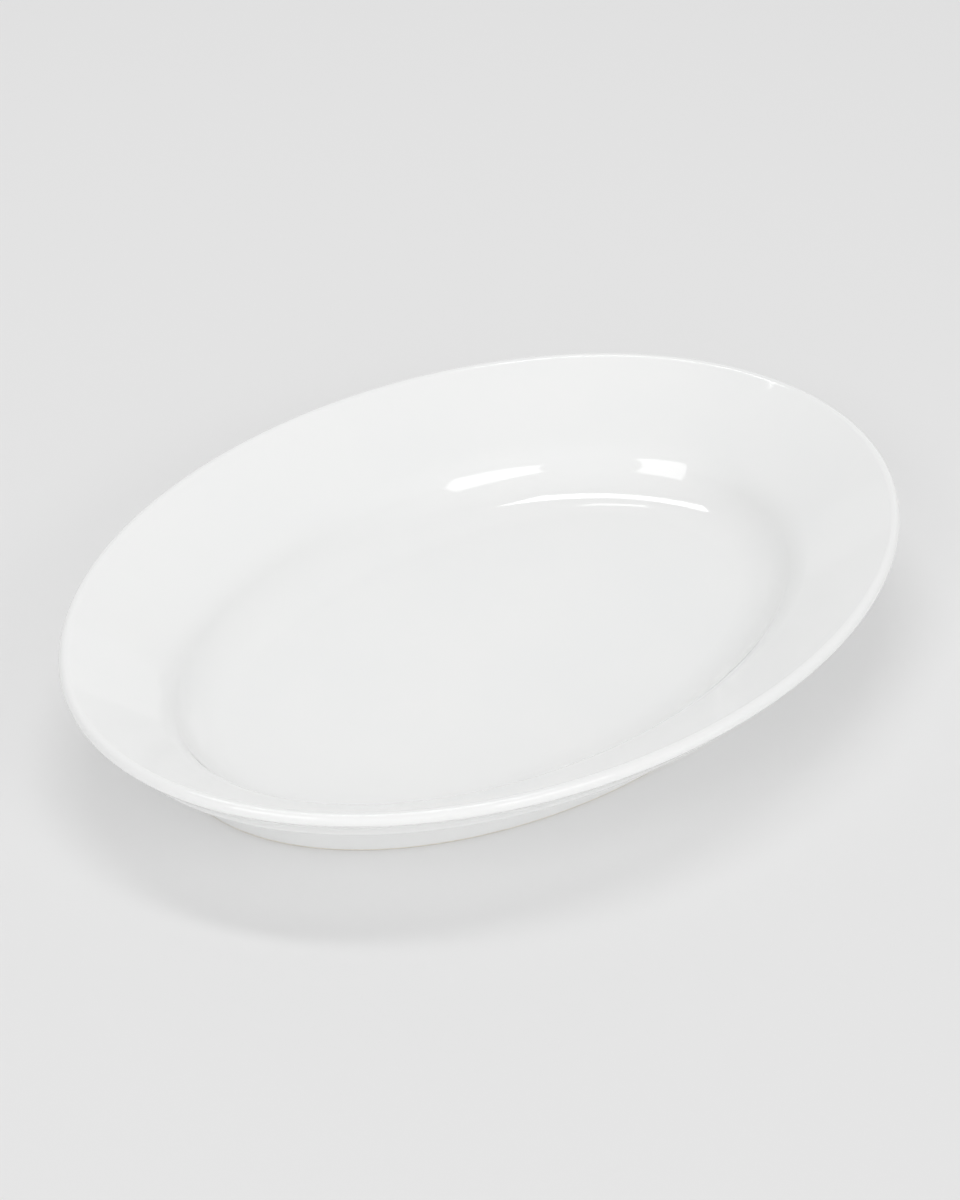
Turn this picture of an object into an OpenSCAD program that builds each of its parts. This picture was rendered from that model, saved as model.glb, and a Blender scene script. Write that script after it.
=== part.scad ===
// Oval porcelain serving platter: a fired clay body under two coats of clear glaze.
// The bare ring under the foot, where the piece stood in the kiln, parts the two coats.
// Lengths are in millimetres. The platter stands on z = 0, with its long axis along X.
// Profiles are drawn as [inset, height]: inset is the plan distance in from the outer edge.

/* [Outline] */
// Overall length
platter_l = 400; // [350:1:480]
// Overall width
platter_w = 293; // [244:1:340]
// Overall height
platter_h = 51; // [42:0.5:62]

/* [Rim] */
// Plan width of the rim, from the outer edge to the shoulder
rim_w = 44; // [36:0.5:53]
// Thickness of the rim
rim_t = 6; // [5:0.1:7.5]
// Radius of the rounded outer edge
lip_r = 2.8; // [2.2:0.1:3.4]
// Radius of the roll under the outer edge
roll_r = 4; // [3:0.5:5]
// Height from the centre of the edge down to the centre of the roll
roll_drop = 13.5; // [11:0.5:16]
// How far the centre of the roll is set in from the centre of the edge
roll_inset = 14; // [11:0.5:17]
// Radius of the shallow groove that joins edge and roll
groove_r = 60; // [30:5:100]
// Radius of the fillet behind the roll
roll_root_r = 5; // [3:0.5:7]

/* [Well] */
// Height of the shoulder above the floor of the well
well_depth = 17; // [14:0.5:20.5]
// Plan width of the sloping wall between shoulder and floor
wall_run = 11.8; // [9.5:0.1:14.5]
// Height above the floor at which the wall turns from the hollow below to the rounded shoulder
turn_h = 11.9; // [8:0.1:13.5]
// Thickness of the floor
floor_t = 5.1; // [4:0.1:7]

/* [Foot] */
// Depth of the recess inside the foot
foot_h = 3; // [2.5:0.1:5]
// Width of the foot where it stands
foot_w = 7; // [5:0.5:9]
// How far the foot is set in from the shoulder
foot_setback = 0.6; // [0:0.1:3]
// Lean of the outer face of the foot, in degrees
foot_lean = 5; // [0:1:10]
// Lean of the inner face of the foot, in degrees
recess_lean = 25; // [10:1:35]
// Radius of the rounded edges of the foot
foot_edge_r = 0.8; // [0.4:0.1:1]
// Radius of the hollow between foot and rim
armpit_r = 8; // [4:0.5:12]
// Radius of the hollow between foot and recess
recess_r = 2; // [1:0.1:2.4]

/* [Glaze] */
// Thickness of the glaze
glaze_t = 0.3; // [0.2:0.05:0.5]
// Bare height above the rounded edge of the foot
bare_lap = 0.4; // [0.2:0.1:0.6]

/* [Hidden] */
body_colour = "#efece3";
glaze_colour = "#f6f6f3";

// Fineness of the drawn curves: how far a chord may stray from its arc, chords round the oval
chord_sag = 0.05;
oval_chords = 56;

// Half axes of the oval
half_l = platter_l / 2;
half_w = platter_w / 2;

// Facings on the profile, in degrees
facing_up = 90;
facing_out = 180;
facing_down = 270;
facing_in = 360;

// Upper face: floor, wall, shoulder and rim
floor_z = foot_h + floor_t;
shoulder_z = floor_z + well_depth;
edge_centre = [lip_r, platter_h - lip_r];
rim_reach = [rim_w - edge_centre[0], edge_centre[1] - shoulder_z];
rim_slope = atan2(rim_reach[1], rim_reach[0]) + asin(lip_r / norm(rim_reach));
wall_slope = atan2(well_depth, wall_run);
rim_facing = facing_up - rim_slope;
wall_facing = facing_up - wall_slope;
shoulder_corner = [rim_w, shoulder_z];
floor_corner = [rim_w + wall_run, floor_z];
hollow_l = turn_h / sin(wall_slope);
shoulder_l = (well_depth - turn_h) / sin(wall_slope);
corner_r = hollow_l / tan(wall_slope / 2);
shoulder_r = shoulder_l / tan((rim_facing - wall_facing) / 2);

// Edge: the rounded lip, the groove and the roll, each curve touching the next
roll_centre = edge_centre + [roll_inset, -roll_drop];
roll_span = norm(roll_centre - edge_centre);
edge_to_groove = lip_r + groove_r;
roll_to_groove = roll_r + groove_r;
groove_open = acos((roll_span * roll_span + edge_to_groove * edge_to_groove
    - roll_to_groove * roll_to_groove) / (2 * roll_span * edge_to_groove));
roll_bearing = bearing(roll_centre - edge_centre);
groove_bearing = roll_bearing - groove_open;
groove_centre = edge_centre + edge_to_groove * unit(groove_bearing);
roll_start = bearing(groove_centre - roll_centre);

// Underside: the rim's lower face, the roll's root and the outer face of the foot
under_facing = facing_down - rim_slope;
under_point = shoulder_corner + rim_t * unit(under_facing);
under_run = [cos(rim_slope), -sin(rim_slope)];
roll_stand = (roll_centre - under_point) * unit(under_facing);
roll_to_root = roll_r + roll_root_r;
root_rise = roll_root_r - roll_stand;
root_centre = roll_centre + root_rise * unit(under_facing)
    + sqrt(roll_to_root * roll_to_root - root_rise * root_rise) * under_run;
roll_end = bearing(root_centre - roll_centre);
foot_facing = facing_out + foot_lean;
foot_inset = rim_w + foot_setback;
armpit_z = (under_point[1] + (under_point[0] - foot_inset) * tan(rim_slope))
    / (1 - tan(foot_lean) * tan(rim_slope));
armpit_corner = [foot_face(armpit_z), armpit_z];

// Foot and recess
recess_facing = facing_in - recess_lean;
recess_inset = foot_inset + foot_w;
recess_corner = [recess_face(foot_h), foot_h];
bare_h = foot_edge_r + bare_lap;
outer_skin = glaze_t / cos(foot_lean);
inner_skin = glaze_t / cos(recess_lean);

function unit(turn) = [cos(turn), sin(turn)];
function bearing(v) = (atan2(v[1], v[0]) + 360) % 360;
function backwards(points) = [for (i = [len(points) - 1:-1:0]) points[i]];
function onward(points) = [for (i = [1:len(points) - 1]) points[i]];
function chords(r, sweep) = ceil(abs(sweep) / (2 * acos(1 - chord_sag / abs(r))));

// Plan inset of the two faces of the foot at a height
function foot_face(z) = foot_inset - z * tan(foot_lean);
function recess_face(z) = recess_inset + z * tan(recess_lean);

// Curve between two facings: a bulge for r above 0, a hollow for r below 0, sunk by depth
function curve(centre, r, from, to, depth) =
    let (n = chords(r, to - from))
    [for (i = [0:n]) centre + (r - depth) * unit(from + (to - from) * i / n)];

// Corner between two flat faces, rounded with radius r
function rounded(corner, r, from, to, depth) =
    let (centre = corner - r / cos((to - from) / 2) * unit((from + to) / 2))
    curve(centre, r, from, to, depth);

// Rounded outer edge, with levels at its very top and at its outermost, sunk by depth
function lip_path(depth) = concat(
    curve(edge_centre, lip_r, rim_facing, facing_up, depth),
    onward(curve(edge_centre, lip_r, facing_up, facing_out, depth)),
    onward(curve(edge_centre, lip_r, facing_out, groove_bearing, depth))
);

// Glazed face from the floor over the rim and edge and down to the foot, sunk by depth
function face_path(depth, skin) = concat(
    rounded(floor_corner, -corner_r, facing_up, wall_facing, depth),
    onward(rounded(shoulder_corner, shoulder_r, wall_facing, rim_facing, depth)),
    lip_path(depth),
    onward(curve(groove_centre, -groove_r, groove_bearing, roll_start, depth)),
    onward(curve(roll_centre, roll_r, roll_start, roll_end, depth)),
    onward(curve(root_centre, -roll_root_r, roll_end, under_facing, depth)),
    rounded(armpit_corner, -armpit_r, under_facing, foot_facing, depth),
    [[foot_face(bare_h) + skin, bare_h]]
);

// Bare ring that the platter stands on
function foot_path() = concat(
    rounded([foot_inset + outer_skin, 0], foot_edge_r, foot_facing, facing_down, 0),
    rounded([recess_inset - inner_skin, 0], foot_edge_r, facing_down, recess_facing, 0)
);

// Glazed face of the recess inside the foot, sunk by depth
function recess_path(depth, skin) = concat(
    [[recess_face(bare_h) - skin, bare_h]],
    rounded(recess_corner, -recess_r, recess_facing, facing_down, depth)
);

// One level of the platter: an ellipse with the level's inset taken off both half axes
function ring(level) = [
    for (i = [0:oval_chords - 1])
        let (turn = 360 * i / oval_chords)
        [(half_l - level[0]) * cos(turn), (half_w - level[0]) * sin(turn), level[1]]
];

// Faces of the band between each level and the next. The diagonals depend on the two levels
// alone, not on which comes first, so pieces that share a surface meet all over it.
function outward(p, q) = q[0] < p[0] || (q[0] == p[0] && q[1] > p[1]);
function bands(path) = [
    for (j = [0:len(path) - 2])
        let (here = j * oval_chords, next = here + oval_chords, out = outward(path[j], path[j + 1]))
        for (i = [0:oval_chords - 1])
            let (k = (i + 1) % oval_chords)
            each out
                ? [[here + i, here + k, next + k], [here + i, next + k, next + i]]
                : [[here + i, here + k, next + i], [here + k, next + k, next + i]]
];

// Solid carried round the oval by a path that runs from a flat top to a flat bottom
module swept(path) {
    last = (len(path) - 1) * oval_chords;
    top_face = [for (i = [oval_chords - 1:-1:0]) i];
    bottom_face = [for (i = [0:oval_chords - 1]) last + i];
    polyhedron(
        points = [for (level = path) each ring(level)],
        faces = concat([top_face], bands(path), [bottom_face])
    );
}

// Fired clay: rim, wall, floor and foot in one
module porcelain_body() {
    color(body_colour)
        swept(concat(
            face_path(glaze_t, outer_skin),
            foot_path(),
            recess_path(glaze_t, inner_skin)
        ));
}

// Glaze over the whole upper face, the edge, the rim's underside and the outside of the foot
module face_glaze() {
    color(glaze_colour)
        swept(concat(face_path(0, 0), backwards(face_path(glaze_t, outer_skin))));
}

// Glaze inside the foot, under the floor
module recess_glaze() {
    color(glaze_colour)
        swept(concat(backwards(recess_path(glaze_t, inner_skin)), recess_path(0, 0)));
}

porcelain_body();
face_glaze();
recess_glaze();
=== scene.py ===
"""Oval porcelain serving platter on a pale studio floor.

The platter is modelled as it is made: a fired clay body, a coat of clear glaze over all
that shows of it, and a second coat inside the foot, parted by the bare ring it stood on in
the kiln. Sizes are in millimetres and turn into metres as the rings are drawn.
"""

import logging
import math
from collections.abc import Mapping, Sequence
from dataclasses import dataclass, field
from enum import Enum
from typing import Any, Protocol

import bpy
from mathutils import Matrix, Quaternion, Vector


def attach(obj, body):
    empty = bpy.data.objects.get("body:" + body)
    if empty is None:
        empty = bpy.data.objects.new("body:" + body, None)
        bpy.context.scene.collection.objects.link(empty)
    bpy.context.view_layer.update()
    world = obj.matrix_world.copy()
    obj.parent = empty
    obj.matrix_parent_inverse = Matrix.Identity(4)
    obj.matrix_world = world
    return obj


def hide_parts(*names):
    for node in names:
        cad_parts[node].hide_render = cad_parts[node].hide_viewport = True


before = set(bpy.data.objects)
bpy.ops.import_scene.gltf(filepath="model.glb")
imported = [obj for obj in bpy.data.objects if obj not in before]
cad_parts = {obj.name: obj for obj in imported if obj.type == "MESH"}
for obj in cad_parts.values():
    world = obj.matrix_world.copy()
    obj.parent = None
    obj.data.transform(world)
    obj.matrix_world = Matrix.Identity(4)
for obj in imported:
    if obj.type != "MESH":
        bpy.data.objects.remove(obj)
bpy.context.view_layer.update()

LOG = logging.getLogger("platter")
MM = 0.001
PHOTO_WIDTH, PHOTO_HEIGHT = 960, 1200

# Numbers of a colour mix's two inputs and of its output, which share their names with others
MIX_A, MIX_B, MIX_RESULT = 6, 7, 2

Level = tuple[float, float]


class Facing(float, Enum):
    """Directions on the cross-section, in degrees, with the outer edge to the left."""

    UP = 90.0
    OUT = 180.0
    DOWN = 270.0
    IN = 360.0


class Slot(str, Enum):
    """Material slots of the record."""

    PORCELAIN = "porcelain"
    GLAZE = "glaze"


def linear(code: str) -> tuple[float, float, float, float]:
    """Turns an sRGB hex colour into linear light.

    Args:
        code: six hex digits after a hash sign.

    Returns:
        Linear red, green and blue, and an alpha of 1.
    """
    parts = [int(code[i:i + 2], 16) / 255 for i in (1, 3, 5)]
    red, green, blue = (
        p / 12.92 if p <= 0.04045 else ((p + 0.055) / 1.055) ** 2.4 for p in parts
    )
    return red, green, blue, 1.0


def add_node(
    tree: bpy.types.NodeTree,
    kind: str,
    settings: Mapping[str | int, Any] | None = None,
    links: Mapping[str | int, bpy.types.NodeSocket] | None = None,
) -> bpy.types.Node:
    """Adds a node with its settings and links.

    Args:
        tree: node tree that gets the node.
        kind: Blender's name for the kind of node.
        settings: input values by the input's name or number, and node properties by name.
        links: source socket for each input, by the input's name or number.

    Returns:
        The new node.
    """
    node = tree.nodes.new(kind)
    for name, value in (settings or {}).items():
        if isinstance(name, int) or name in node.inputs:
            node.inputs[name].default_value = value
        else:
            setattr(node, name, value)
    for name, source in (links or {}).items():
        tree.links.new(source, node.inputs[name])
    return node


def empty_material(name: str) -> bpy.types.Material:
    """Makes a material with an empty node tree."""
    material = bpy.data.materials.new(name)
    material.use_nodes = True
    material.node_tree.nodes.clear()
    return material


@dataclass(frozen=True)
class Pattern:
    """Noise that varies a material.

    Attributes:
        size_mm: width of its features, in millimetres.
        detail: number of finer layers.
        roughness: strength of each finer layer beside the one before it.
    """

    size_mm: float
    detail: float
    roughness: float = 0.5

    def settings(self) -> dict[str, float]:
        """Gives the settings of its noise node."""
        return {
            "Scale": 1 / (self.size_mm * MM),
            "Detail": self.detail,
            "Roughness": self.roughness,
        }


class Finish(Protocol):
    """Anything that can make the material of a piece."""

    def material(self) -> bpy.types.Material:
        """Makes the material."""


@dataclass(frozen=True)
class GlazedPorcelain:
    """Clear feldspar glaze fired over white porcelain.

    The eye sees the white clay through the glass: a bright, even body colour, a little cooler
    where the glaze has run together, under sharp reflections that waver slightly.

    Attributes:
        colour: colour of the clay under the glaze.
        pooled_colour: colour where the glaze is thickest.
        ior: refractive index of the glaze.
        roughness: roughness of its surface.
        drift: how thick and thin glaze take turns.
        waves: the slow waves of the surface.
        wave_height_mm: height of those waves.
        peel: the fine dimples of the surface.
        peel_height_mm: depth of those dimples.
    """

    colour: str = "#f6f6f5"
    pooled_colour: str = "#f1f2f2"
    ior: float = 1.56
    roughness: float = 0.05
    drift: Pattern = Pattern(60.0, detail=3.0, roughness=0.55)
    waves: Pattern = Pattern(38.0, detail=1.0, roughness=0.4)
    wave_height_mm: float = 0.05
    peel: Pattern = Pattern(2.6, detail=2.0)
    peel_height_mm: float = 0.0009

    def material(self) -> bpy.types.Material:
        """Makes the material of the two coats.

        Returns:
            A glossy white material with a slow drift of colour and a faint waviness.
        """
        made = empty_material("clear_glaze_on_white_porcelain")
        tree = made.node_tree
        place = add_node(tree, "ShaderNodeTexCoord").outputs["Object"]
        drift = add_node(tree, "ShaderNodeTexNoise", self.drift.settings(), {"Vector": place})
        waves = add_node(tree, "ShaderNodeTexNoise", self.waves.settings(), {"Vector": place})
        peel = add_node(tree, "ShaderNodeTexNoise", self.peel.settings(), {"Vector": place})
        colour = add_node(
            tree, "ShaderNodeMix",
            {
                "data_type": "RGBA",
                MIX_A: linear(self.colour),
                MIX_B: linear(self.pooled_colour),
            },
            {"Factor": drift.outputs["Fac"]},
        )
        swell = add_node(
            tree, "ShaderNodeBump",
            {"Strength": 1.0, "Distance": self.wave_height_mm * MM},
            {"Height": waves.outputs["Fac"]},
        )
        skin = add_node(
            tree, "ShaderNodeBump",
            {"Strength": 1.0, "Distance": self.peel_height_mm * MM},
            {"Height": peel.outputs["Fac"], "Normal": swell.outputs["Normal"]},
        )
        shader = add_node(
            tree, "ShaderNodeBsdfPrincipled",
            {"Roughness": self.roughness, "IOR": self.ior},
            {"Base Color": colour.outputs[MIX_RESULT], "Normal": skin.outputs["Normal"]},
        )
        add_node(tree, "ShaderNodeOutputMaterial", links={"Surface": shader.outputs["BSDF"]})
        return made


@dataclass(frozen=True)
class BareClay:
    """Fired porcelain without glaze, ground smooth where the foot stands.

    Unglazed it is dead matt and slightly cream, with a fine grit that catches grey from tables.

    Attributes:
        colour: colour of the clean clay.
        worn_colour: colour of the scuffs.
        roughness: roughness of the clay.
        ior: refractive index of the clay.
        scuffs: where the clay is scuffed.
        scuff_range: level of that noise at which scuffs set in, and at which they are full.
        grit: the grains of the clay.
        grit_height_mm: height of those grains.
    """

    colour: str = "#ece7dc"
    worn_colour: str = "#d9d3c8"
    roughness: float = 0.82
    ior: float = 1.5
    scuffs: Pattern = Pattern(9.0, detail=5.0, roughness=0.65)
    scuff_range: tuple[float, float] = (0.45, 0.75)
    grit: Pattern = Pattern(0.5, detail=3.0, roughness=0.7)
    grit_height_mm: float = 0.02

    def material(self) -> bpy.types.Material:
        """Makes the material of the bare ring.

        Returns:
            A matt cream material with scuffs and a fine grit.
        """
        made = empty_material("bare_fired_porcelain")
        tree = made.node_tree
        place = add_node(tree, "ShaderNodeTexCoord").outputs["Object"]
        scuffs = add_node(tree, "ShaderNodeTexNoise", self.scuffs.settings(), {"Vector": place})
        grit = add_node(tree, "ShaderNodeTexNoise", self.grit.settings(), {"Vector": place})
        first, full = self.scuff_range
        wear = add_node(
            tree, "ShaderNodeMapRange",
            {"From Min": first, "From Max": full},
            {"Value": scuffs.outputs["Fac"]},
        )
        colour = add_node(
            tree, "ShaderNodeMix",
            {
                "data_type": "RGBA",
                MIX_A: linear(self.colour),
                MIX_B: linear(self.worn_colour),
            },
            {"Factor": wear.outputs["Result"]},
        )
        bump = add_node(
            tree, "ShaderNodeBump",
            {"Strength": 1.0, "Distance": self.grit_height_mm * MM},
            {"Height": grit.outputs["Fac"]},
        )
        shader = add_node(
            tree, "ShaderNodeBsdfPrincipled",
            {"Roughness": self.roughness, "IOR": self.ior},
            {"Base Color": colour.outputs[MIX_RESULT], "Normal": bump.outputs["Normal"]},
        )
        add_node(tree, "ShaderNodeOutputMaterial", links={"Surface": shader.outputs["BSDF"]})
        return made


@dataclass(frozen=True)
class StudioPaper:
    """Seamless pale grey background paper: matt, with no shine of its own.

    Light that comes through the paper from below evens it out, so shadows on it stay pale.

    Attributes:
        colour: colour of the paper where light falls on it.
        glow_colour: colour it shows by the light from below.
        glow_share: share of that light in what the camera and mirrors see.
        roughness: roughness of the paper.
        sheen: strength of what little it mirrors.
    """

    colour: str = "#fafafa"
    glow_colour: str = "#cdcdcd"
    glow_share: float = 0.4
    roughness: float = 0.9
    sheen: float = 0.2

    def material(self) -> bpy.types.Material:
        """Makes the material of the floor.

        Returns:
            A matt pale material that keeps shadows.
        """
        made = empty_material("seamless_background_paper")
        tree = made.node_tree
        paper = add_node(
            tree, "ShaderNodeBsdfPrincipled",
            {
                "Base Color": linear(self.colour),
                "Roughness": self.roughness,
                "Specular IOR Level": self.sheen,
            },
        )
        glow = add_node(
            tree, "ShaderNodeEmission", {"Color": linear(self.glow_colour), "Strength": 1.0}
        )
        rays = add_node(tree, "ShaderNodeLightPath").outputs
        mirrored = add_node(
            tree, "ShaderNodeMath", {"operation": "MAXIMUM"},
            {0: rays["Is Glossy Ray"], 1: rays["Is Transmission Ray"]},
        )
        seen = add_node(
            tree, "ShaderNodeMath", {"operation": "MAXIMUM"},
            {0: rays["Is Camera Ray"], 1: mirrored.outputs["Value"]},
        )
        share = add_node(
            tree, "ShaderNodeMapRange",
            {"To Max": self.glow_share},
            {"Value": seen.outputs["Value"]},
        )
        shader = add_node(
            tree, "ShaderNodeMixShader",
            links={
                0: share.outputs["Result"],
                1: paper.outputs["BSDF"],
                2: glow.outputs["Emission"],
            },
        )
        add_node(tree, "ShaderNodeOutputMaterial", links={"Surface": shader.outputs["Shader"]})
        return made


@dataclass(frozen=True)
class Section:
    """Cross-section of the platter, in millimetres.

    A level is a pair: plan inset from the outer edge, and height above the table. Each run of
    levels follows the finished surface, or lies beneath it by a depth of glaze.

    Attributes:
        half_length: half the overall length.
        half_width: half the overall width.
        height: overall height.
        rim_width: plan width of the rim, from the outer edge to the shoulder.
        rim_thickness: thickness of the rim.
        lip_radius: radius of the rounded outer edge.
        roll_radius: radius of the roll under the rim.
        roll_drop: height from the centre of the edge down to the centre of the roll.
        roll_inset: how far the roll's centre is set in from the edge's.
        groove_radius: radius of the shallow groove that joins edge and roll.
        roll_root_radius: radius of the fillet behind the roll.
        well_depth: height of the shoulder above the floor of the well.
        wall_run: plan width of the wall between shoulder and floor.
        turn_height: height above the floor at which the wall turns from hollow to shoulder.
        floor_thickness: thickness of the floor.
        foot_height: depth of the recess inside the foot.
        foot_width: width of the foot where it stands.
        foot_setback: how far the foot is set in from the shoulder.
        foot_lean: lean of the foot's outer face, in degrees.
        recess_lean: lean of the foot's inner face, in degrees.
        foot_edge_radius: radius of the foot's rounded edges.
        armpit_radius: radius of the hollow between foot and rim.
        recess_radius: radius of the hollow between foot and recess.
        glaze_thickness: thickness of the glaze.
        bare_lap: bare height above the foot's rounded edge.
        bead_chords: chords of the bead that ends a coat of glaze.
        fine_sag: how far a chord may stray from its arc where it shows.
        hidden_sag: how far it may stray where glaze hides it.
        flat_margin: width of the ring that keeps flat middles flat beside a curve.
    """

    half_length: float = 200.0
    half_width: float = 146.5
    height: float = 51.0
    rim_width: float = 44.0
    rim_thickness: float = 6.0
    lip_radius: float = 2.8
    roll_radius: float = 4.0
    roll_drop: float = 13.5
    roll_inset: float = 14.0
    groove_radius: float = 60.0
    roll_root_radius: float = 5.0
    well_depth: float = 17.0
    wall_run: float = 11.8
    turn_height: float = 11.9
    floor_thickness: float = 5.1
    foot_height: float = 3.0
    foot_width: float = 7.0
    foot_setback: float = 0.6
    foot_lean: float = 5.0
    recess_lean: float = 25.0
    foot_edge_radius: float = 0.8
    armpit_radius: float = 8.0
    recess_radius: float = 2.0
    glaze_thickness: float = 0.3
    bare_lap: float = 0.4
    bead_chords: int = 6
    fine_sag: float = 0.002
    hidden_sag: float = 0.05
    flat_margin: float = 3.0

    @staticmethod
    def unit(turn: float) -> Vector:
        """Gives the unit vector at an angle in degrees."""
        return Vector((math.cos(math.radians(turn)), math.sin(math.radians(turn))))

    @staticmethod
    def bearing(arrow: Vector) -> float:
        """Gives a vector's angle, from 0 to 360 degrees."""
        return math.degrees(math.atan2(arrow.y, arrow.x)) % 360

    @staticmethod
    def tan(turn: float) -> float:
        """Gives the tangent of an angle in degrees."""
        return math.tan(math.radians(turn))

    @property
    def floor(self) -> float:
        """Height of the floor of the well."""
        return self.foot_height + self.floor_thickness

    @property
    def shoulder(self) -> Vector:
        """Corner where the rim's line meets the wall's."""
        return Vector((self.rim_width, self.floor + self.well_depth))

    @property
    def edge(self) -> Vector:
        """Centre of the rounded outer edge."""
        return Vector((self.lip_radius, self.height - self.lip_radius))

    @property
    def rim_slope(self) -> float:
        """Slope of the rim, in degrees."""
        reach = self.edge - self.shoulder
        return math.degrees(
            math.atan2(reach.y, -reach.x) + math.asin(self.lip_radius / reach.length)
        )

    @property
    def wall_slope(self) -> float:
        """Slope of the wall of the well, in degrees."""
        return math.degrees(math.atan2(self.well_depth, self.wall_run))

    @property
    def rim_facing(self) -> float:
        """Facing of the rim's upper face, in degrees."""
        return Facing.UP - self.rim_slope

    @property
    def under_facing(self) -> float:
        """Facing of the rim's underside, in degrees."""
        return Facing.DOWN - self.rim_slope

    @property
    def wall_facing(self) -> float:
        """Facing of the wall where it is steepest, in degrees."""
        return Facing.UP - self.wall_slope

    @property
    def corner_radius(self) -> float:
        """Radius of the hollow that runs from the floor up to the turn of the wall."""
        reach = self.turn_height / math.sin(math.radians(self.wall_slope))
        return reach / self.tan(self.wall_slope / 2)

    @property
    def shoulder_radius(self) -> float:
        """Radius of the shoulder, from the turn of the wall to the rim."""
        rise = self.well_depth - self.turn_height
        reach = rise / math.sin(math.radians(self.wall_slope))
        return reach / self.tan((self.rim_facing - self.wall_facing) / 2)

    @property
    def bare_height(self) -> float:
        """Height at which the coats of glaze stop."""
        return self.foot_edge_radius + self.bare_lap

    @property
    def foot_inset(self) -> float:
        """Inset of the outer face of the foot, where it meets the table."""
        return self.rim_width + self.foot_setback

    @property
    def recess_inset(self) -> float:
        """Inset of the inner face of the foot, where it meets the table."""
        return self.foot_inset + self.foot_width

    def curve(
        self, centre: Vector, radius: float, start: float, end: float, depth: float = 0.0
    ) -> list[Level]:
        """Draws an arc between two facings.

        Args:
            centre: centre of the arc.
            radius: above zero for a bulge, below zero for a hollow.
            start: facing at the first level, in degrees.
            end: facing at the last level, in degrees.
            depth: how far the arc lies beneath the finished surface.

        Returns:
            The levels along the arc.
        """
        sag = self.hidden_sag if depth else self.fine_sag
        step = 2 * math.degrees(math.acos(1 - sag / abs(radius)))
        count = math.ceil(abs(end - start) / step)
        turns = [start + (end - start) * i / count for i in range(count + 1)]
        return [tuple(centre + (radius - depth) * self.unit(turn)) for turn in turns]

    def rounded(
        self, corner: Vector, radius: float, start: float, end: float, depth: float = 0.0
    ) -> list[Level]:
        """Rounds the corner between two flat faces.

        Args:
            corner: where the two faces would meet.
            radius: above zero for a bulge, below zero for a hollow.
            start: facing of the first face, in degrees.
            end: facing of the second face, in degrees.
            depth: how far the arc lies beneath the finished surface.

        Returns:
            The levels along the rounding.
        """
        reach = radius / math.cos(math.radians(end - start) / 2)
        centre = corner - reach * self.unit((start + end) / 2)
        return self.curve(centre, radius, start, end, depth)

    def well(self, depth: float) -> list[Level]:
        """Draws the upper face, from the flat floor up the wall and the rim.

        Args:
            depth: how far it lies beneath the finished surface.

        Returns:
            The levels from the floor to the start of the rounded edge.
        """
        wall, rim = self.wall_facing, self.rim_facing
        foot_of_wall = Vector((self.rim_width + self.wall_run, self.floor))
        hollow = self.rounded(foot_of_wall, -self.corner_radius, Facing.UP, wall, depth)
        shoulder = self.rounded(self.shoulder, self.shoulder_radius, wall, rim, depth)
        flat = (hollow[0][0] + self.flat_margin, hollow[0][1])
        return [flat, *hollow, *shoulder[1:]]

    def lip(self, depth: float) -> list[Level]:
        """Draws the rounded edge, the groove beneath it, the roll and the fillet behind it.

        Args:
            depth: how far it lies beneath the finished surface.

        Returns:
            The levels from the top of the rim to its underside.
        """
        roll = self.edge + Vector((self.roll_inset, -self.roll_drop))
        span = (roll - self.edge).length
        to_edge = self.lip_radius + self.groove_radius
        to_roll = self.roll_radius + self.groove_radius
        opening = math.degrees(
            math.acos((span**2 + to_edge**2 - to_roll**2) / (2 * span * to_edge))
        )
        edge_end = self.bearing(roll - self.edge) - opening
        groove = self.edge + to_edge * self.unit(edge_end)
        roll_start = self.bearing(groove - roll)
        under = self.under_facing
        stand = (roll - self.shoulder).dot(self.unit(under)) - self.rim_thickness
        to_root = self.roll_radius + self.roll_root_radius
        rise = self.roll_root_radius - stand
        along = self.unit(-self.rim_slope)
        root = roll + rise * self.unit(under) + math.sqrt(to_root**2 - rise**2) * along
        roll_end = self.bearing(root - roll)
        return [
            *self.curve(self.edge, self.lip_radius, self.rim_facing, edge_end, depth),
            *self.curve(groove, -self.groove_radius, edge_end, roll_start, depth)[1:],
            *self.curve(roll, self.roll_radius, roll_start, roll_end, depth)[1:],
            *self.curve(root, -self.roll_root_radius, roll_end, under, depth)[1:],
        ]

    def foot_side(self, depth: float) -> list[Level]:
        """Draws the hollow under the rim and the outer face of the foot.

        Args:
            depth: how far it lies beneath the finished surface.

        Returns:
            The levels from the rim's underside down to where the glaze stops.
        """
        under = self.under_facing
        start = self.shoulder + self.rim_thickness * self.unit(under)
        fall = self.tan(self.rim_slope)
        lean = self.tan(self.foot_lean)
        height = (start.y + (start.x - self.foot_inset) * fall) / (1 - lean * fall)
        corner = Vector((self.foot_inset - height * lean, height))
        skin = depth / math.cos(math.radians(self.foot_lean))
        stop = (self.foot_inset - self.bare_height * lean + skin, self.bare_height)
        side = Facing.OUT + self.foot_lean
        return [*self.rounded(corner, -self.armpit_radius, under, side, depth), stop]

    def face(self, depth: float = 0.0) -> list[Level]:
        """Draws the whole glazed face, from the floor over the rim and down to the foot.

        Args:
            depth: how far it lies beneath the finished surface.

        Returns:
            The levels from the floor of the well to where the glaze stops.
        """
        return [*self.well(depth), *self.lip(depth), *self.foot_side(depth)]

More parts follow.
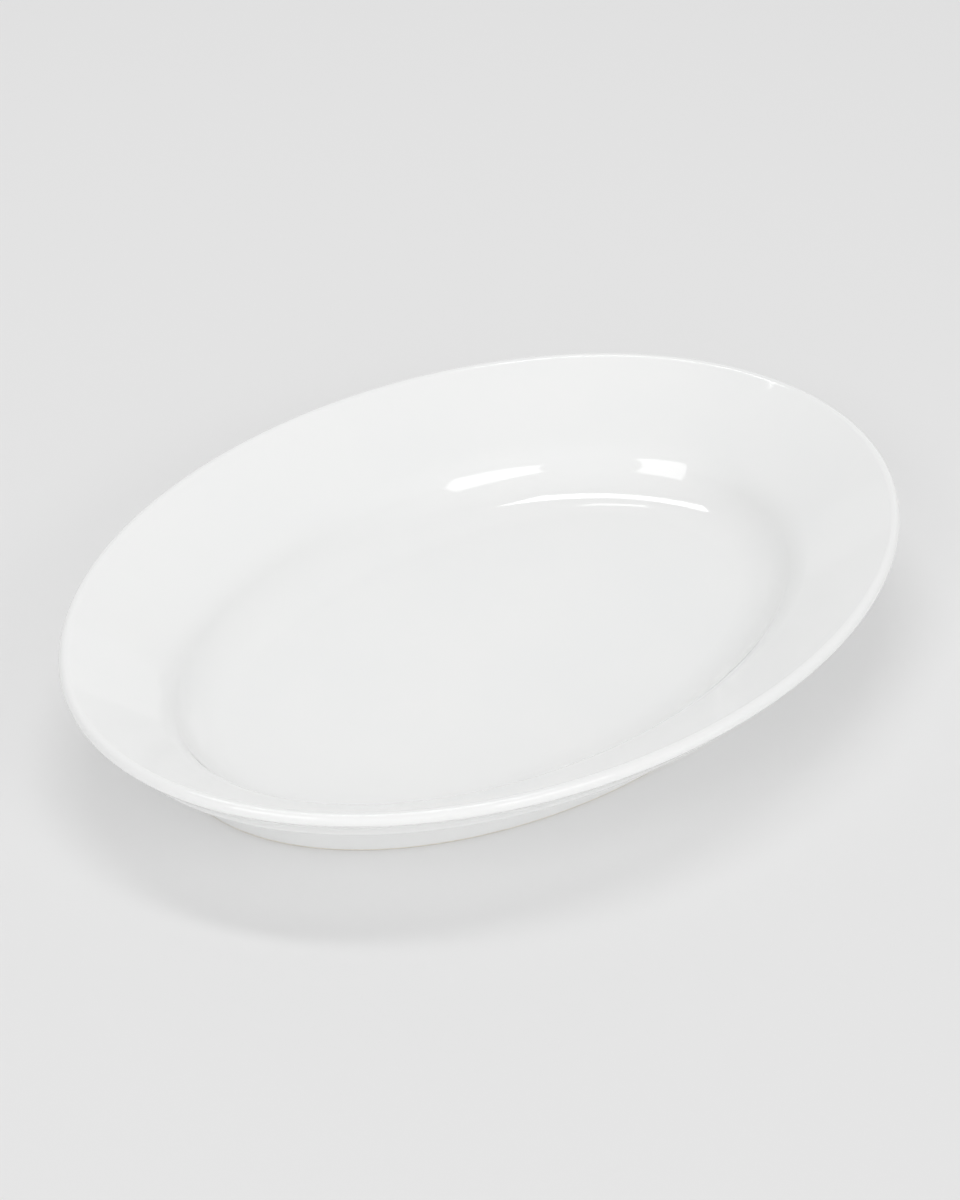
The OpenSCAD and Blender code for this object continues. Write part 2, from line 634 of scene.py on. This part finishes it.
    def standing_ring(self) -> list[Level]:
        """Draws the bare ring that the platter stands on.

        Returns:
            The levels from the outer to the inner edge of the foot.
        """
        outer_skin = self.glaze_thickness / math.cos(math.radians(self.foot_lean))
        inner_skin = self.glaze_thickness / math.cos(math.radians(self.recess_lean))
        outer = Vector((self.foot_inset + outer_skin, 0))
        inner = Vector((self.recess_inset - inner_skin, 0))
        radius = self.foot_edge_radius
        return [
            *self.rounded(outer, radius, Facing.OUT + self.foot_lean, Facing.DOWN),
            *self.rounded(inner, radius, Facing.DOWN, Facing.IN - self.recess_lean),
        ]

    def recess(self, depth: float = 0.0) -> list[Level]:
        """Draws the recess inside the foot.

        Args:
            depth: how far it lies beneath the finished surface.

        Returns:
            The levels from where the glaze stops to the flat underside.
        """
        lean = self.tan(self.recess_lean)
        skin = depth / math.cos(math.radians(self.recess_lean))
        start = (self.recess_inset + self.bare_height * lean - skin, self.bare_height)
        corner = Vector((self.recess_inset + self.foot_height * lean, self.foot_height))
        side = Facing.IN - self.recess_lean
        hollow = self.rounded(corner, -self.recess_radius, side, Facing.DOWN, depth)
        flat = (hollow[-1][0] + self.flat_margin, hollow[-1][1])
        return [start, *hollow, flat]

    def bead(self, outer: Level, inner: Level) -> list[Level]:
        """Rounds off a coat of glaze where it stops.

        Args:
            outer: last level of the coat's outer surface.
            inner: level beside it on the clay.

        Returns:
            The levels between the two, bulging down.
        """
        middle = (Vector(outer) + Vector(inner)) / 2
        radius = abs(inner[0] - outer[0]) / 2
        start, end = (Facing.OUT, Facing.IN) if outer[0] < inner[0] else (Facing.IN, Facing.OUT)
        step = (end - start) / self.bead_chords
        turns = [start + step * i for i in range(1, self.bead_chords)]
        return [tuple(middle + radius * self.unit(turn)) for turn in turns]


@dataclass
class OvalPiece:
    """A piece of the platter, drawn as a stack of elliptical rings.

    Attributes:
        section: cross-section that the rings follow.
        finish: what the piece is made of.
        chords: number of chords in each ring.
        name: name of the finished piece.
        node: node of the construction that it stands for.
        slot: material slot meant for it, which is not used.
    """

    section: Section
    finish: Finish
    chords: int = 192
    name: str = field(default="", init=False)
    node: str = field(default="", init=False)
    slot: Slot = field(default=Slot.GLAZE, init=False)

    def levels(self) -> Sequence[Level]:
        """Gives the levels of the rings, from a flat top to a flat bottom."""
        raise NotImplementedError

    def half_axes(self, inset: float) -> tuple[float, float]:
        """Gives a ring's half length and half width, in metres, at an inset."""
        return (self.section.half_length - inset) * MM, (self.section.half_width - inset) * MM

    def model(self) -> bpy.types.Object:
        """Draws the rings one after another by extruding the last one's edge.

        Returns:
            The closed, smooth mesh.
        """
        levels = self.levels()
        inset, height = levels[0]
        bpy.ops.object.select_all(action="DESELECT")
        bpy.ops.mesh.primitive_circle_add(
            vertices=self.chords, radius=1.0, fill_type="NGON", enter_editmode=True
        )
        piece = bpy.context.object
        piece.name = piece.data.name = self.name
        bpy.ops.mesh.select_mode(type="EDGE")
        long, short = self.half_axes(inset)
        bpy.ops.transform.resize(value=(long, short, 1), center_override=(0, 0, 0))
        bpy.ops.transform.translate(value=(0, 0, height * MM))
        for next_inset, next_height in levels[1:]:
            bpy.ops.mesh.extrude_edges_move(
                TRANSFORM_OT_translate={"value": (0, 0, (next_height - height) * MM)}
            )
            next_long, next_short = self.half_axes(next_inset)
            grow = (next_long / long, next_short / short, 1)
            bpy.ops.transform.resize(value=grow, center_override=(0, 0, 0))
            height, long, short = next_height, next_long, next_short
        bpy.ops.mesh.edge_face_add()
        bpy.ops.mesh.select_all(action="SELECT")
        bpy.ops.mesh.normals_make_consistent(inside=False)
        bpy.ops.object.mode_set(mode="OBJECT")
        bpy.ops.object.shade_smooth()
        return piece

    def dress(self, piece: bpy.types.Object) -> None:
        """Gives the piece its material.

        Args:
            piece: the modelled piece.
        """
        piece.data.materials.append(self.finish.material())

    def make(self) -> bpy.types.Object:
        """Models and dresses the piece and sets it in the frame.

        Returns:
            The finished piece.
        """
        piece = self.model()
        self.dress(piece)
        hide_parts(self.node)
        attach(piece, "root")
        LOG.info("%s: %d faces", self.name, len(piece.data.polygons))
        return piece


@dataclass
class ClayBody(OvalPiece):
    """The fired clay: rim, wall, floor and foot in one."""

    name: str = field(default="clay_body", init=False)
    node: str = field(default="porcelain_body", init=False)
    slot: Slot = field(default=Slot.PORCELAIN, init=False)

    def levels(self) -> Sequence[Level]:
        """Runs from the floor over the rim, round the foot and into the recess."""
        depth = self.section.glaze_thickness
        return [
            *self.section.face(depth),
            *self.section.standing_ring(),
            *self.section.recess(depth),
        ]


@dataclass
class FaceGlaze(OvalPiece):
    """The coat over the upper face, the edge, the rim's underside and the foot's outside."""

    name: str = field(default="face_glaze_coat", init=False)
    node: str = field(default="face_glaze", init=False)

    def levels(self) -> Sequence[Level]:
        """Runs out over the finished surface, round the bead and back along the clay."""
        outside = self.section.face()
        inside = self.section.face(self.section.glaze_thickness)
        return [*outside, *self.section.bead(outside[-1], inside[-1]), *reversed(inside)]


@dataclass
class RecessGlaze(OvalPiece):
    """The coat inside the foot, under the floor."""

    name: str = field(default="recess_glaze_coat", init=False)
    node: str = field(default="recess_glaze", init=False)

    def levels(self) -> Sequence[Level]:
        """Runs out along the clay, round the bead and back over the finished surface."""
        outside = self.section.recess()
        inside = self.section.recess(self.section.glaze_thickness)
        bead = self.section.bead(outside[0], inside[0])
        return [*reversed(inside), *reversed(bead), *outside]


@dataclass
class Viewpoint:
    """The photograph's camera.

    Attributes:
        heading: horizontal direction of view, in degrees clockwise from +Y.
        elevation: height of the camera above the horizon, seen from the platter, in degrees.
        distance: from the camera to the platter's origin, in metres.
        focal_px: focal length in pixels of the photograph.
        origin_px: where the platter's origin falls in the photograph.
        sensor_mm: height of the camera's sensor, the longer side of the picture.
    """

    heading: float = 42.3
    elevation: float = 36.0
    distance: float = 2.0
    focal_px: float = 4654.0
    origin_px: tuple[float, float] = (489.9, 665.4)
    sensor_mm: float = 36.0

    @property
    def away(self) -> Vector:
        """Horizontal direction of view."""
        turn = math.radians(self.heading)
        return Vector((math.sin(turn), math.cos(turn), 0))

    @property
    def right(self) -> Vector:
        """Horizontal direction to the right of the picture."""
        return self.away.cross(Vector((0, 0, 1)))

    def towards(self, azimuth: float, elevation: float) -> Vector:
        """Gives a direction in the room.

        Args:
            azimuth: degrees to the right of the direction of view.
            elevation: degrees above the horizon.

        Returns:
            The unit vector from the platter in that direction.
        """
        side, rise = math.radians(azimuth), math.radians(elevation)
        level = self.right * math.sin(side) + self.away * math.cos(side)
        return level * math.cos(rise) + Vector((0, 0, math.sin(rise)))

    def make(self) -> bpy.types.Object:
        """Sets the camera up and makes it the scene's.

        Returns:
            The camera.
        """
        data = bpy.data.cameras.new("photograph")
        data.sensor_width = self.sensor_mm
        data.lens = self.focal_px * self.sensor_mm / PHOTO_HEIGHT
        camera = bpy.data.objects.new("photograph", data)
        bpy.context.collection.objects.link(camera)
        camera.location = -self.distance * self.towards(0, -self.elevation)
        across = math.atan((self.origin_px[0] - PHOTO_WIDTH / 2) / self.focal_px)
        down = math.atan((self.origin_px[1] - PHOTO_HEIGHT / 2) / self.focal_px)
        tilt = math.pi / 2 - math.radians(self.elevation) + down
        camera.rotation_euler = (tilt, 0, -math.radians(self.heading) + across)
        bpy.context.scene.camera = camera
        return camera


@dataclass(frozen=True)
class Softbox:
    """A rectangular studio lamp that faces the platter.

    Attributes:
        name: what the lamp is for.
        azimuth: degrees to the right of the direction of view.
        elevation: degrees above the horizon.
        distance: from the platter, in metres.
        size: width and height, in metres.
        radiance: brightness of its face, where 1 is the white of the picture.
        turn: degrees that it is turned about the line to the platter.
    """

    name: str
    azimuth: float
    elevation: float
    distance: float
    size: tuple[float, float]
    radiance: float
    turn: float = 0.0

    def make(self, viewpoint: Viewpoint) -> bpy.types.Object:
        """Hangs the lamp in the room.

        Args:
            viewpoint: camera that the directions are counted from.

        Returns:
            The lamp.
        """
        data = bpy.data.lights.new(self.name, "AREA")
        data.shape = "RECTANGLE"
        data.size, data.size_y = self.size
        data.energy = self.radiance * math.pi * self.size[0] * self.size[1]
        lamp = bpy.data.objects.new(self.name, data)
        bpy.context.collection.objects.link(lamp)
        way = viewpoint.towards(self.azimuth, self.elevation)
        lamp.location = way * self.distance
        turn = Quaternion((0, 0, 1), math.radians(self.turn))
        lamp.rotation_euler = (way.to_track_quat("Z", "Y") @ turn).to_euler()
        return lamp


@dataclass(frozen=True)
class RoomGlow:
    """Soft light that one side of the room adds, most of it from the middle of that side.

    Attributes:
        azimuth: degrees to the right of the direction of view.
        strength: brightness at the middle, where 1 is the white of the picture.
    """

    azimuth: float
    strength: float


@dataclass
class Studio:
    """The room: a pale floor, soft light from all round and a few softboxes.

    Attributes:
        viewpoint: camera that directions are counted from.
        paper: finish of the floor.
        floor_radius: radius of the floor, in metres.
        floor_chords: number of chords in its edge.
        room_colour: colour of the light from all round.
        room_strength: its strength from every direction.
        room_sides: what the sides of the room add to it.
        lamps: the softboxes.
    """

    viewpoint: Viewpoint
    paper: Finish
    floor_radius: float = 8.0
    floor_chords: int = 96
    room_colour: str = "#ffffff"
    room_strength: float = 0.225
    room_sides: tuple[RoomGlow, ...] = (
        RoomGlow(180, 0.78),
        RoomGlow(0, 0.7),
        RoomGlow(130, 0.3),
    )
    lamps: tuple[Softbox, ...] = (
        Softbox("front_right", 136.5, 36.5, 1.9, (0.70, 0.42), 3.0),
        Softbox("front_left", -151, 42.5, 1.9, (0.75, 0.60), 3.0),
        Softbox("overhead", -15, 78, 1.8, (1.2, 0.30), 6.5, -30),
        Softbox("overhead_small", 4, 60, 1.8, (0.16, 0.16), 3.0),
        Softbox("back_left", -26.5, 12.5, 2.0, (0.5, 0.95), 0.15),
        Softbox("back_right", 25.5, 12.5, 2.0, (0.5, 0.95), 0.18),
    )

    def make_floor(self) -> bpy.types.Object:
        """Lays the floor.

        Returns:
            A wide disc at the height of the platter's foot.
        """
        bpy.ops.object.select_all(action="DESELECT")
        bpy.ops.mesh.primitive_circle_add(
            vertices=self.floor_chords, radius=self.floor_radius, fill_type="NGON"
        )
        floor = bpy.context.object
        floor.name = "studio_floor"
        floor.data.materials.append(self.paper.material())
        return floor

    def make_room_light(self) -> None:
        """Lights the room softly from all round, and more from some of its sides."""
        world = bpy.data.worlds.new("studio_room")
        world.use_nodes = True
        tree = world.node_tree
        tree.nodes.clear()
        way = add_node(tree, "ShaderNodeTexCoord").outputs["Generated"]
        so_far: dict[int, bpy.types.NodeSocket] = {}
        for side in self.room_sides:
            facing = add_node(
                tree, "ShaderNodeVectorMath",
                {"operation": "DOT_PRODUCT", 1: self.viewpoint.towards(side.azimuth, 0)},
                {0: way},
            )
            added = add_node(
                tree, "ShaderNodeMapRange",
                {"To Max": side.strength},
                {"Value": facing.outputs["Value"]},
            )
            total = add_node(
                tree, "ShaderNodeMath",
                {"operation": "ADD", 1: self.room_strength},
                {0: added.outputs["Result"], **so_far},
            )
            so_far = {1: total.outputs["Value"]}
        glow = add_node(
            tree, "ShaderNodeBackground",
            {"Color": linear(self.room_colour)},
            {"Strength": total.outputs["Value"]},
        )
        add_node(tree, "ShaderNodeOutputWorld", links={"Surface": glow.outputs["Background"]})
        bpy.context.scene.world = world

    def make(self) -> None:
        """Sets up the floor, the light and the lamps."""
        self.make_floor()
        self.make_room_light()
        for lamp in self.lamps:
            lamp.make(self.viewpoint)
            LOG.info("lamp %s", lamp.name)
        bpy.context.scene.view_settings.view_transform = "Standard"


def main() -> None:
    """Builds the platter, the room and the camera."""
    logging.basicConfig(level=logging.INFO, format="%(name)s: %(message)s")
    section = Section()
    viewpoint = Viewpoint()
    viewpoint.make()
    Studio(viewpoint, StudioPaper()).make()
    glaze = GlazedPorcelain()
    for piece in (
        ClayBody(section, BareClay()),
        FaceGlaze(section, glaze),
        RecessGlaze(section, glaze),
    ):
        piece.make()


if __name__ == "__main__":
    main()
